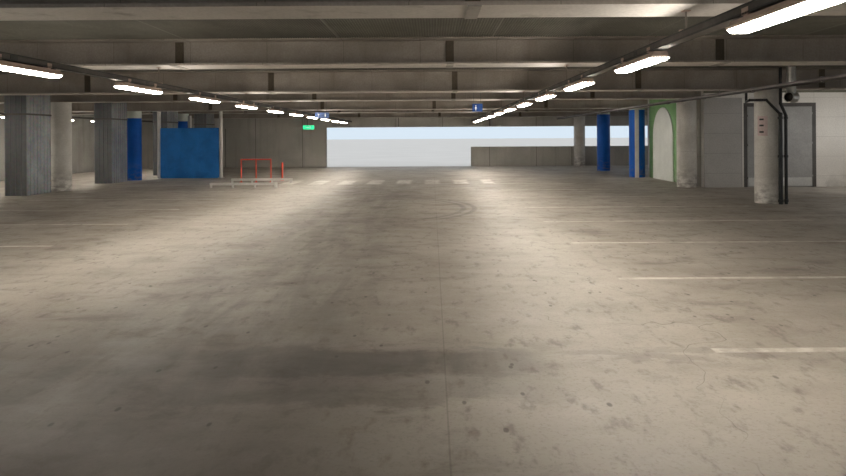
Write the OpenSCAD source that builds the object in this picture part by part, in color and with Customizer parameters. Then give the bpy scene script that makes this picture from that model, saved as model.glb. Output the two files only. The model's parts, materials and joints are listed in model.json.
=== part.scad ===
/* [Plan] */
// Number of structural bays along the length
bays = 7; // [5:1:9]
// Bay length, from one beam line to the next
bay = 5050; // [4800:50:5200]
// Distance from the aisle centre to the centre of a column row
column_row = 9680; // [9300:50:10000]
// Distance from the aisle centre to the inner face of the side walls
half_inside = 14800; // [14500:50:15200]
// Half the width of the gateways at the two ends
half_gate = 3900; // [3200:50:4400]

/* [Storeys] */
// Number of parking levels with a deck above them
storeys = 2; // [1:1:3]
// Thickness of the slab that stands on the ground
slab_t = 150; // [100:10:300]
// Clear height under the shallow beams
beam_clear = 2725; // [2600:5:3000]
// Depth of the shallow beams
beam_d = 425; // [300:5:600]
// How much deeper every second beam is
beam_drop = 80; // [0:5:100]
// Thickness of a parking deck
deck_t = 200; // [150:10:300]

/* [Walls] */
// Thickness of the precast walls and parapets
wall_t = 200; // [150:10:250]
// Height of a parapet above its deck
parapet_h = 1050; // [900:10:1200]
// Clear height under the panel over the far gateway
far_head = 2130; // [2100:10:2600]

/* [Frame] */
// Diameter of the round columns
column_dia = 590; // [500:10:620]
// Width of a beam flange
flange_w = 580; // [300:10:600]
// Thickness of a beam flange
flange_t = 30; // [20:1:40]
// Thickness of a beam web
web_t = 20; // [12:1:40]
// Width of the plates that stiffen a web
stiffener_w = 130; // [80:5:200]

/* [Core] */
// Distance from the aisle centre to the face of the stair and lift core
core_x = 10100; // [10050:10:10400]
// Where the front wall of the core stands along the length
core_front = 2250; // [2100:10:2400]
// Length of the core
core_len = 5350; // [5300:10:5600]
// Left edge of the double door
door_x = 11320; // [11200:10:11500]
// Width of the double doorway
door_w = 2210; // [1900:10:2400]
// Height of the double doorway
door_h = 2570; // [2100:10:2600]

/* [Lamps] */
// Length of a lamp
lamp_len = 1280; // [1100:10:1600]
// Distance from one lamp to the next in a row
lamp_pitch = 2900; // [2400:10:3200]
// Height of the underside of a lamp above the deck
lamp_clear = 2300; // [2200:5:2300]

/* [Hidden] */

beam_lines = bays + 1;
end_line = bays * bay / 2;
half_len_in = end_line + 350;
half_len_out = half_len_in + wall_t;
half_wid_out = half_inside + wall_t;
storey_h = beam_clear + beam_d + deck_t;
roof_top = slab_t + storeys * storey_h;
core_back = core_front + core_len;
core_head_h = 2700;
core_roof_t = 200;
beam_in_core = 2 * flange_w;

// Height of the finished floor of a level, where level 0 is the ground
function floor_z(level) = slab_t + level * storey_h;
// Height of the underside of the beams over a level
function beam_z(level) = floor_z(level) + beam_clear;
// Height of the underside of the deck over a level
function soffit_z(level) = beam_z(level) + beam_d;
// Depth of the beam on a line, where every second one is deeper
function line_depth(i) = beam_d + (i % 2 == 1 ? beam_drop : 0);
// Height of the underside of the beam on a line over a level
function line_z(level, i) = soffit_z(level) - line_depth(i);
// Place of a beam line along the length
function line_y(i) = -end_line + i * bay;
// True where a beam line runs into the core
function meets_core(i) = line_y(i) > core_front - beam_in_core
    && line_y(i) < core_back + beam_in_core;

// A box between two corners
module span(low, high) {
    translate(low) cube(high - low);
}

// An upright round bar
module post(x, y, low, high, dia) {
    translate([x, y, low]) cylinder(h = high - low, d = dia, $fn = 48);
}

// A level round bar along the length
module bar_y(x, low, high, z, dia) {
    translate([x, low, z]) rotate([-90, 0, 0]) cylinder(h = high - low, d = dia, $fn = 32);
}

// A level round bar across the width
module bar_x(low, high, y, z, dia) {
    translate([low, y, z]) rotate([0, 90, 0]) cylinder(h = high - low, d = dia, $fn = 32);
}

module ground_slab() {
    color("darkgray")
        span([-half_wid_out, -half_len_out, 0], [half_wid_out, half_len_out, slab_t]);
}

// A parking deck between the walls, over the level below it
module deck(level) {
    color("dimgray")
        span([-half_inside, -half_len_in, soffit_z(level)],
             [half_inside, half_len_in, floor_z(level + 1)]);
}

module deck_1() deck(0);

module roof_deck() deck(storeys - 1);

// Columns: two pairs at the far end of the ground level have a blue coat
first_blue_line = 5;
last_blue_line = 6;

module columns(level, from_line, to_line) {
    for (i = [from_line : to_line], side = [-1, 1])
        post(side * column_row, line_y(i), floor_z(level), line_z(level, i), column_dia);
}

module columns_pale() {
    color("gainsboro") {
        columns(0, 0, first_blue_line - 1);
        columns(0, last_blue_line + 1, beam_lines - 1);
        if (storeys > 1)
            for (level = [1 : storeys - 1]) columns(level, 0, beam_lines - 1);
    }
}

module columns_blue() color("mediumblue") columns(0, first_blue_line, last_blue_line);

// Outline of a steel beam: two flanges and the web between them
module beam_outline(depth) {
    translate([-flange_w / 2, 0]) square([flange_w, flange_t]);
    translate([-web_t / 2, 0]) square([web_t, depth]);
    translate([-flange_w / 2, depth - flange_t]) square([flange_w, flange_t]);
}

// One beam across the building, which stops at the core
module beam(level, i) {
    right_end = meets_core(i) ? core_x : half_inside;
    translate([-half_inside, line_y(i), line_z(level, i)])
        rotate([90, 0, 90]) linear_extrude(right_end + half_inside)
            beam_outline(line_depth(i));
}

module beams() {
    color("gray")
        for (level = [0 : storeys - 1], i = [0 : beam_lines - 1]) beam(level, i);
}

// Splices of the beams: where each one stands, and how far it is moved on each line
splice_first = 2150;
splice_pitch = 4300;
splice_shifts = [100, 0, -60, 190, 320, -260, -300, 60];
splice_plate_t = 20;
splices = [for (side = [-1, 1], k = [0 : 2]) side * (splice_first + k * splice_pitch)];

function splice_x(i, k) = splices[k] + splice_shifts[i % len(splice_shifts)];
// True where the beam is there to be spliced
function has_splice(i, x) = x < core_x - stiffener_w || !meets_core(i);

// Plates on both faces of the web at each splice
module web_plates() {
    color("saddlebrown")
        for (level = [0 : storeys - 1], i = [0 : beam_lines - 1], k = [0 : len(splices) - 1],
             face = [-1, 1]) {
            x = splice_x(i, k);
            y = line_y(i) + face * (web_t + splice_plate_t) / 2;
            if (has_splice(i, x))
                span([x - stiffener_w / 2, y - splice_plate_t / 2, line_z(level, i) + flange_t],
                     [x + stiffener_w / 2, y + splice_plate_t / 2, soffit_z(level) - flange_t]);
        }
}

// Plates under the lower flange at each splice
flange_plate_t = 10;
flange_plate_w = 110;

module flange_plates() {
    color("gray")
        for (level = [0 : storeys - 1], i = [0 : beam_lines - 1], k = [0 : len(splices) - 1]) {
            x = splice_x(i, k);
            if (has_splice(i, x))
                span([x - flange_plate_w / 2, line_y(i) - flange_w / 2,
                      line_z(level, i) - flange_plate_t],
                     [x + flange_plate_w / 2, line_y(i) + flange_w / 2, line_z(level, i)]);
        }
}

// The left side is a plain party wall
module left_wall(low, high) {
    color("lightgray")
        span([-half_wid_out, -half_len_out, low], [-half_inside, half_len_out, high]);
}

module left_wall_ground() left_wall(slab_t, floor_z(1));

module left_wall_upper() left_wall(floor_z(1), roof_top);

module left_parapet_roof() left_wall(roof_top, roof_top + parapet_h);

// Bottom and top of the parapet that closes the edge of a level's floor
function edge_low(level) = level == 0 ? slab_t : beam_z(level - 1) - beam_drop;
function edge_high(level) = floor_z(level) + parapet_h;

// The right side is open over precast parapets, in front of and behind the core
module right_parapets() {
    color("silver")
        for (level = [0 : storeys]) {
            span([half_inside, -half_len_out, edge_low(level)],
                 [half_wid_out, core_front, edge_high(level)]);
            span([half_inside, core_back, edge_low(level)],
                 [half_wid_out, half_len_out, edge_high(level)]);
        }
}

// A panel across an end of the building, where side is -1 near and 1 far
module end_panel(side, left, right, low, high) {
    y = side * (half_len_in + wall_t / 2);
    color("silver") span([left, y - wall_t / 2, low], [right, y + wall_t / 2, high]);
}

// Both ends have a gateway in the aisle on the ground level
module near_parapets() {
    end_panel(-1, -half_inside, -half_gate, edge_low(0), edge_high(0));
    end_panel(-1, half_gate, half_inside, edge_low(0), edge_high(0));
    for (level = [1 : storeys])
        end_panel(-1, -half_inside, half_inside, edge_low(level), edge_high(level));
}

module far_parapets() {
    end_panel(1, half_gate, half_inside, edge_low(0), edge_high(0));
    for (level = [1 : storeys])
        end_panel(1, -half_inside, half_inside,
                  level == 1 ? slab_t + far_head : edge_low(level), edge_high(level));
}

module far_wall_ground()
    end_panel(1, -half_inside, -half_gate, slab_t, slab_t + far_head);

// Top of the core's wall over a level, under the deck or under the core's own roof
function core_top(level) = level < storeys ? soffit_z(level) : roof_top + core_head_h;

// The front wall stands beside and over a doorway on every level
module front_piece(level, left, right, low) {
    color("whitesmoke")
        span([left, core_front, low], [right, core_front + wall_t, core_top(level)]);
}

module core_front_left() {
    for (level = [0 : storeys]) front_piece(level, core_x, door_x, floor_z(level));
}

module core_front_right() {
    for (level = [0 : storeys])
        front_piece(level, door_x + door_w, half_inside, floor_z(level));
}

module core_front_heads() {
    for (level = [0 : storeys])
        front_piece(level, door_x, door_x + door_w, floor_z(level) + door_h);
}

module core_back_wall() {
    color("whitesmoke")
        for (level = [0 : storeys])
            span([core_x, core_back - wall_t, floor_z(level)],
                 [half_inside, core_back, core_top(level)]);
}

module core_aisle_wall() {
    color("yellowgreen")
        for (level = [0 : storeys])
            span([core_x, core_front + wall_t, floor_z(level)],
                 [core_x + wall_t, core_back - wall_t, core_top(level)]);
}

module core_outer_wall() {
    color("silver")
        span([half_inside, core_front, slab_t],
             [half_wid_out, core_back, roof_top + core_head_h]);
}

module core_roof() {
    color("dimgray")
        span([core_x, core_front, roof_top + core_head_h],
             [half_wid_out, core_back, roof_top + core_head_h + core_roof_t]);
}

// Sheet cladding beside the door, on the face of the core's front wall
cladding_t = 30;
cladding_gap = 60;

module core_cladding() {
    color("darkgray")
        span([core_x, core_front - cladding_t, slab_t],
             [door_x - cladding_gap, core_front, beam_z(0)]);
}

// The head beam across the top of the core's front wall
head_beam_h = 270;
head_beam_out = 60;

module core_head_beam() {
    color("dimgray")
        span([core_x, core_front - head_beam_out, soffit_z(0) - head_beam_h],
             [half_inside, core_front, soffit_z(0)]);
}

// A pale panel with an arched head on the green wall
arch_y = 4840;
arch_w = 2040;
arch_h = 2600;
arch_rise = arch_w / 2;
arch_t = 30;

module arch_panel() {
    color("lightgray")
        translate([core_x - arch_t, arch_y, slab_t]) rotate([90, 0, 90])
            linear_extrude(arch_t) {
                square([arch_w, arch_h - arch_rise]);
                intersection() {
                    translate([arch_w / 2, arch_h - arch_rise])
                        circle(r = arch_rise, $fn = 96);
                    translate([0, arch_h - arch_rise]) square([arch_w, arch_rise]);
                }
            }
}

// Double door: jambs and a head in the wall, and two leaves on hinges that stand proud
frame_face = 110;
leaf_t = 50;
leaf_gap = 8;
hinge_out = 14;
hinge_r = 8;
hinge_len = 60;
hinge_plate = 34;
hinge_plate_t = 6;
threshold = 10;
hinge_space = 5;
hinge_heights = [250, 1250, 2150];
frame_in_left = door_x + frame_face;
frame_in_right = door_x + door_w - frame_face;
leaf_w = (frame_in_right - frame_in_left - 3 * leaf_gap) / 2;
leaf_h = door_h - frame_face - leaf_gap - threshold;
hinge_y = core_front - hinge_out;
hinge_left = frame_in_left + leaf_gap / 2;
hinge_right = frame_in_right - leaf_gap / 2;

// Half of a hinge: a barrel, and a plate on the face beside it; side is 1 towards +X
module half_hinge(x, side, z) {
    post(x, hinge_y, z, z + hinge_len, 2 * hinge_r);
    face = core_front - hinge_plate_t;
    plate_from = x + side * leaf_gap / 2;
    plate_to = x + side * hinge_plate;
    span([min(plate_from, plate_to), face, z],
         [max(plate_from, plate_to), core_front, z + hinge_len]);
    bridge = x + side * hinge_r;
    span([min(bridge, x), hinge_y, z], [max(bridge, x), face, z + hinge_len]);
}

// A jamb with the lower halves of its hinges
module jamb(left, hinge_x, side) {
    span([left, core_front, slab_t],
         [left + frame_face, core_front + wall_t, slab_t + door_h - frame_face]);
    for (z = hinge_heights) half_hinge(hinge_x, side, slab_t + z);
}

module door_jambs() {
    color("darkslategray") {
        jamb(door_x, hinge_left, -1);
        jamb(frame_in_right, hinge_right, 1);
    }
}

module door_head() {
    color("darkslategray")
        span([door_x, core_front, slab_t + door_h - frame_face],
             [door_x + door_w, core_front + wall_t, slab_t + door_h]);
}

// A leaf with a pull handle near the meeting edge
handle_in = 90;
handle_low = 900;
handle_high = 1300;
handle_dia = 24;
handle_out = 60;

module leaf(left, hinge_x, side) {
    low = slab_t + threshold;
    span([left, core_front, low], [left + leaf_w, core_front + leaf_t, low + leaf_h]);
    for (z = hinge_heights) half_hinge(hinge_x, side, slab_t + z + hinge_len + hinge_space);
    x = hinge_x + side * (leaf_w - handle_in);
    post(x, core_front - handle_out, slab_t + handle_low, slab_t + handle_high, handle_dia);
    for (z = [handle_low + handle_dia / 2, handle_high - handle_dia / 2])
        translate([x, core_front - handle_out, slab_t + z]) rotate([-90, 0, 0])
            cylinder(h = handle_out, d = handle_dia, $fn = 24);
}

module door_leaf_left() {
    color("slategray") leaf(frame_in_left + leaf_gap, hinge_left, 1);
}

module door_leaf_right() {
    color("slategray") leaf(frame_in_right - leaf_gap - leaf_w, hinge_right, -1);
}

// The doors of the levels above stay shut
shut_gap = 10;

module upper_doors() {
    color("slategray")
        for (level = [1 : storeys], side = [0, 1]) {
            half_w = (door_w - shut_gap) / 2;
            left = door_x + side * (half_w + shut_gap);
            span([left, core_front, floor_z(level)],
                 [left + half_w, core_front + leaf_t, floor_z(level) + door_h]);
        }
}

// Lamps: two rows over the aisle, and one over each strip beside the columns
row_right = 3950;
row_left = -2550;
row_strip = -12100;
row_side = 12100;
lamp_w = 205;
lamp_foot = 112;
lamp_t = 38;
body_w = 150;
body_top_w = 116;
body_t = 45;
// Blocks between a lamp's body and the trunking, and how far they stand in from its ends
block_t = 17;
block_w = 80;
block_l = 60;
block_in = 150;
// Where the first lamp of each row ends, towards the near end
right_first = -14885;
left_first = -11815;
strip_first = -13910;
side_first = -14885;
right_count = 11;
left_count = 10;
strip_count = 10;
side_count = 5;

// A bar along the length with a sloping outline: its width below and above
module tapered_bar(low_w, high_w, height) {
    translate([0, lamp_len, 0]) rotate([90, 0, 0]) linear_extrude(lamp_len)
        polygon([
            [-low_w / 2, 0], [low_w / 2, 0], [high_w / 2, height], [-high_w / 2, height]
        ]);
}

// The lit part of a lamp, narrower below
module diffuser() tapered_bar(lamp_foot, lamp_w, lamp_t);

// The body above it, with the blocks that hold it to the trunking
module lamp_body() {
    translate([0, 0, lamp_t]) tapered_bar(body_w, body_top_w, body_t);
    for (y = [block_in, lamp_len - block_in - block_l])
        span([-block_w / 2, y, lamp_t + body_t],
             [block_w / 2, y + block_l, lamp_t + body_t + block_t]);
}

// Puts a piece at each lamp of a row
module lamp_row(level, x, first, count) {
    for (k = [0 : count - 1])
        translate([x, first + k * lamp_pitch, floor_z(level) + lamp_clear]) children();
}

// Puts a piece at every lamp
module at_lamps() {
    for (level = [0 : storeys - 1]) {
        lamp_row(level, row_right, right_first, right_count) children();
        lamp_row(level, row_left, left_first, left_count) children();
        lamp_row(level, row_strip, strip_first, strip_count) children();
        lamp_row(level, row_side, side_first, side_count) children();
    }
}

module lamps() color("white") at_lamps() diffuser();

module lamp_bodies() color("rosybrown") at_lamps() lamp_body();

// The trunking that carries each row of lamps
rail_w = 100;
rail_h = 70;
rail_low = lamp_clear + lamp_t + body_t + block_t;
rail_end_gap = 150;
lamp_rows = [row_left, row_right, row_strip, row_side];

// The row on the core's side ends after its last lamp, and the others run right through
side_end = side_first + (side_count - 1) * lamp_pitch + lamp_len + rail_end_gap;
function rail_end(x) = x == row_side ? side_end : half_len_in - rail_end_gap;

module level_rails(level) {
    low = floor_z(level) + rail_low;
    color("dimgray")
        for (x = lamp_rows)
            span([x - rail_w / 2, -half_len_in + rail_end_gap, low],
                 [x + rail_w / 2, rail_end(x), low + rail_h]);
}

module lamp_rails() for (level = [0 : storeys - 1]) level_rails(level);

// Rods from the beams down to the trunking
hanger_dia = 16;

module rail_hangers() {
    color("dimgray")
        for (level = [0 : storeys - 1], x = lamp_rows, i = [0 : beam_lines - 1])
            if (line_y(i) < rail_end(x))
                post(x, line_y(i), floor_z(level) + rail_low + rail_h, line_z(level, i), hanger_dia);
}

// The sprinkler main under the beams
sprinkler_x = 8550;
sprinkler_dia = 90;
sprinkler_z = 2540;

module sprinkler_pipe() {
    z = slab_t + sprinkler_z;
    color("dimgray") {
        bar_y(sprinkler_x, -half_len_in + rail_end_gap, half_len_in - rail_end_gap,
              z, sprinkler_dia);
        for (i = [0 : beam_lines - 1])
            post(sprinkler_x, line_y(i), z, line_z(0, i), hanger_dia);
    }
}

// Two rainwater pipes on the right column before the core
drain_line = 3;
drain_y = line_y(drain_line) - 370;
drain_dia = 90;
drain_x = 9780;
drain_join_z = 2060;
drain_run_z = 2390;
drain_run_x = 9460;
drain_run_dia = 60;
drain_run_end = 9080;
drain_back_x = 9350;
drain_back_y = line_y(drain_line) + flange_w / 2 + drain_dia;
second_x = 9920;
second_y = line_y(drain_line) - 340;
second_dia = 70;
second_top_x = 9800;
second_low_z = 2030;
second_high_z = 2310;

// A sloping pipe between two points that share a y
module pipe_lean(x1, z1, x2, z2, y, dia) {
    dx = x2 - x1;
    dz = z2 - z1;
    translate([x1, y, z1]) rotate([0, atan2(dx, dz), 0])
        cylinder(h = sqrt(dx * dx + dz * dz), d = dia, $fn = 32);
}

// A level pipe between two points
module pipe_flat(x1, y1, x2, y2, z, dia) {
    dx = x2 - x1;
    dy = y2 - y1;
    translate([x1, y1, z]) rotate([0, 90, atan2(dy, dx)])
        cylinder(h = sqrt(dx * dx + dy * dy), d = dia, $fn = 32);
}

// A bend, a little thicker than its pipe
elbow_swell = 1.12;

module elbow(x, y, z, dia) translate([x, y, z]) sphere(d = elbow_swell * dia, $fn = 32);

module first_pipe() {
    join_z = slab_t + drain_join_z;
    run_z = slab_t + drain_run_z;
    color("black") {
        post(drain_x, drain_y, slab_t, join_z, drain_dia);
        elbow(drain_x, drain_y, join_z, drain_dia);
        pipe_lean(drain_x, join_z, drain_run_x, run_z, drain_y, drain_run_dia);
        elbow(drain_run_x, drain_y, run_z, drain_run_dia);
        bar_x(drain_run_end, drain_run_x, drain_y, run_z, drain_run_dia);
        elbow(drain_run_end, drain_y, run_z, drain_run_dia);
        pipe_flat(drain_run_end, drain_y, drain_back_x, drain_back_y, run_z, drain_run_dia);
        elbow(drain_back_x, drain_back_y, run_z, drain_run_dia);
        post(drain_back_x, drain_back_y, run_z, soffit_z(0), drain_run_dia);
    }
}

module second_pipe() {
    low_z = slab_t + second_low_z;
    high_z = slab_t + second_high_z;
    color("black") {
        post(second_x, second_y, slab_t, low_z, second_dia);
        elbow(second_x, second_y, low_z, second_dia);
        pipe_lean(second_x, low_z, second_top_x, high_z, second_y, second_dia);
        elbow(second_top_x, second_y, high_z, second_dia);
        post(second_top_x, second_y, high_z, soffit_z(0), second_dia);
    }
}

module drain_pipes() {
    first_pipe();
    second_pipe();
}

// A round duct that comes down beside the pipes and ends in a wide mouth, turned to the aisle
vent_x = 9900;
vent_y = -3030;
vent_turn = 30;
vent_len = 220;
vent_dia = 250;
mouth_dia = 200;
mouth_deep = 90;
vent_z = 2450;
vent_duct_dia = 200;

module vent_mouth() {
    z = slab_t + vent_z;
    color("silver")
        translate([vent_x, vent_y, z]) rotate([0, 0, vent_turn])
            difference() {
                union() {
                    rotate([0, 90, 0]) cylinder(h = vent_len, d = vent_dia, $fn = 64);
                    translate([vent_duct_dia / 2, 0, 0])
                        cylinder(h = soffit_z(0) - z, d = vent_duct_dia, $fn = 64);
                }
                translate([-1, 0, 0]) rotate([0, 90, 0])
                    cylinder(h = mouth_deep + 1, d = mouth_dia, $fn = 64);
            }
}

// Sheet metal casings beside the left columns
casing_x = -10250;
casing_w = 620;
casing_l = 1180;
casing_before = 1850;

module duct_casings() {
    color("lightslategray")
        for (i = [1 : beam_lines - 1]) {
            y = line_y(i) - casing_before;
            span([casing_x, y, slab_t], [casing_x + casing_w, y + casing_l, soffit_z(0)]);
        }
}

// The blue screen between two white posts
screen_y = 8700;
screen_left = -9080;
screen_right = -6740;
screen_h = 2010;
screen_t = 80;
screen_post_dia = 140;

module screen_wall() {
    color("royalblue")
        span([screen_left, screen_y - screen_t / 2, slab_t],
             [screen_right, screen_y + screen_t / 2, slab_t + screen_h]);
}

module screen_posts() {
    color("white")
        for (x = [screen_left - screen_post_dia / 2, screen_right + screen_post_dia / 2])
            post(x, screen_y, slab_t, soffit_z(0), screen_post_dia);
}

// Low guard rails on short feet, with a round end post, on both sides of the trolley bay
kerb_lines = [3200, 5500];
kerb_left = -5300;
kerb_right = -3200;
kerb_w = 110;
kerb_top = 165;
kerb_bar_h = 75;
kerb_foot_w = 60;
kerb_feet = 3;

module kerb_rail(y) {
    top = slab_t + kerb_top;
    span([kerb_left, y - kerb_w / 2, top - kerb_bar_h], [kerb_right, y + kerb_w / 2, top]);
    post(kerb_right, y, slab_t, top, kerb_w);
    for (k = [0 : kerb_feet - 1]) {
        x = kerb_left + k * (kerb_right - kerb_left) / kerb_feet;
        span([x, y - kerb_foot_w / 2, slab_t],
             [x + kerb_foot_w, y + kerb_foot_w / 2, top - kerb_bar_h]);
    }
}

module kerb_rails() {
    color("lightgray")
        for (y = kerb_lines) kerb_rail(y);
}

// The red tube rail of the trolley bay: three legs and a top tube with round corners
trolley_y = 5900;
trolley_h = 820;
trolley_left = -5070;
trolley_right = -4000;
trolley_dia = 50;
// A short red post beyond it
bollard_x = -3770;
bollard_y = 6700;
bollard_h = 680;
bollard_dia = 76;

module trolley_rail() {
    top = slab_t + trolley_h;
    color("red") {
        for (x = [trolley_left, (trolley_left + trolley_right) / 2, trolley_right])
            post(x, trolley_y, slab_t, top, trolley_dia);
        for (x = [trolley_left, trolley_right]) elbow(x, trolley_y, top, trolley_dia);
        bar_x(trolley_left, trolley_right, trolley_y, top, trolley_dia);
        post(bollard_x, bollard_y, slab_t, slab_t + bollard_h, bollard_dia);
    }
}

// Signs: the place of each one's middle over the floor, and its width and height
sign_t = 40;
hanging_sign_at = [3120, 1200, 2430];
hanging_sign_size = [300, 230];
left_sign_at = [-2120, 5700, 2390];
left_sign_size = [500, 200];
exit_sign_at = [-3700, 11700, 2050];
exit_sign_size = [490, 180];

// A square sign that hangs from the deck on two rods
module sign(at, size) {
    half = [size[0] / 2, sign_t / 2, size[1] / 2];
    middle = at + [0, 0, slab_t];
    span(middle - half, middle + half);
    for (side = [-1, 1])
        post(middle[0] + side * size[0] / 3, middle[1], middle[2] + half[2], soffit_z(0), hanger_dia);
}

module hanging_sign() color("royalblue") sign(hanging_sign_at, hanging_sign_size);

module left_sign() color("steelblue") sign(left_sign_at, left_sign_size);

module exit_sign() color("green") sign(exit_sign_at, exit_sign_size);

ground_slab();
deck_1();
roof_deck();
columns_pale();
columns_blue();
beams();
web_plates();
flange_plates();
left_wall_ground();
left_wall_upper();
left_parapet_roof();
right_parapets();
near_parapets();
far_parapets();
far_wall_ground();
core_front_left();
core_front_right();
core_front_heads();
core_back_wall();
core_aisle_wall();
core_outer_wall();
core_roof();
core_cladding();
core_head_beam();
arch_panel();
door_jambs();
door_head();
door_leaf_left();
door_leaf_right();
upper_doors();
lamps();
lamp_bodies();
lamp_rails();
rail_hangers();
sprinkler_pipe();
drain_pipes();
vent_mouth();
duct_casings();
screen_wall();
screen_posts();
kerb_rails();
trolley_rail();
hanging_sign();
left_sign();
exit_sign();
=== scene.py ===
import json
import math
import bmesh
import bpy
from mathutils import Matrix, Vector


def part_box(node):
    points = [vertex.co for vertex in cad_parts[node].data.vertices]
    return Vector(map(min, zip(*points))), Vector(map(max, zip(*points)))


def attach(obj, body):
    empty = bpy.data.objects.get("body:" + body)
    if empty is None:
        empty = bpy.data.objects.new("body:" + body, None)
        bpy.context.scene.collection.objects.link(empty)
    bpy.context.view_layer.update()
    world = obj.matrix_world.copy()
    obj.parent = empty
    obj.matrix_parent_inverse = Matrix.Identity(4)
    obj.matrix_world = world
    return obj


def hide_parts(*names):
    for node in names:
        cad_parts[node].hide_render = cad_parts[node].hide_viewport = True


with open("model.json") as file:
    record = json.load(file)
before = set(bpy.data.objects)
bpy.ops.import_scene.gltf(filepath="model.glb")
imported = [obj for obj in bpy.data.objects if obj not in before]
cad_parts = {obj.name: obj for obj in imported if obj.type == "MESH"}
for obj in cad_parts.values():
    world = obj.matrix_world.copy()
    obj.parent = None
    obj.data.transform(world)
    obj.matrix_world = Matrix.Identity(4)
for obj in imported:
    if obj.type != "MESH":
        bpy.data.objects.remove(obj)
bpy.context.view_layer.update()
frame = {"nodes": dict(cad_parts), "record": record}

# The building's main lines, in metres
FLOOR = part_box("ground_slab")[1].z
DECK_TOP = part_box("deck_1")[1].z
STOREY = DECK_TOP - FLOOR
INSIDE_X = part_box("deck_1")[1].x
CORE_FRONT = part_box("core_front_left")[0].y
BAYS = 7
BAY = 5.05
LINES_Y = [BAY * (k - BAYS / 2) for k in range(BAYS + 1)]
FLANGE_HALF = 0.29
COLUMN_X = 9.68
COLUMN_R = 0.295


def new_object(name, data):
    """A new object in the scene, with no turn of its own."""
    made = bpy.data.objects.new(name, data)
    made.rotation_mode = "XYZ"
    bpy.context.scene.collection.objects.link(made)
    return made


# Camera: the photograph's own frame and viewpoint
IMAGE_WIDTH = 846
IMAGE_HEIGHT = 476
SENSOR = 36.0
FOCAL_PX = 673.0
VANISH_X = 432.0
VANISH_Y = 137.0
EYE = (1.8, -18.305, 1.74)
ROLL = math.radians(0.35)


def make_camera():
    """A level camera that looks along the aisle, turned a little about its own axis."""
    data = bpy.data.cameras.new("camera")
    data.sensor_width = SENSOR
    data.lens = FOCAL_PX * SENSOR / IMAGE_WIDTH
    data.shift_x = (IMAGE_WIDTH / 2 - VANISH_X) / IMAGE_WIDTH
    data.shift_y = (VANISH_Y - IMAGE_HEIGHT / 2) / IMAGE_WIDTH
    data.clip_start = 0.05
    data.clip_end = 1500
    camera = new_object("camera", data)
    camera.rotation_euler = (math.radians(90), ROLL, 0)
    camera.location = EYE
    bpy.context.scene.camera = camera


# Materials, each kept under its own name
PAINTS = {}


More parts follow.
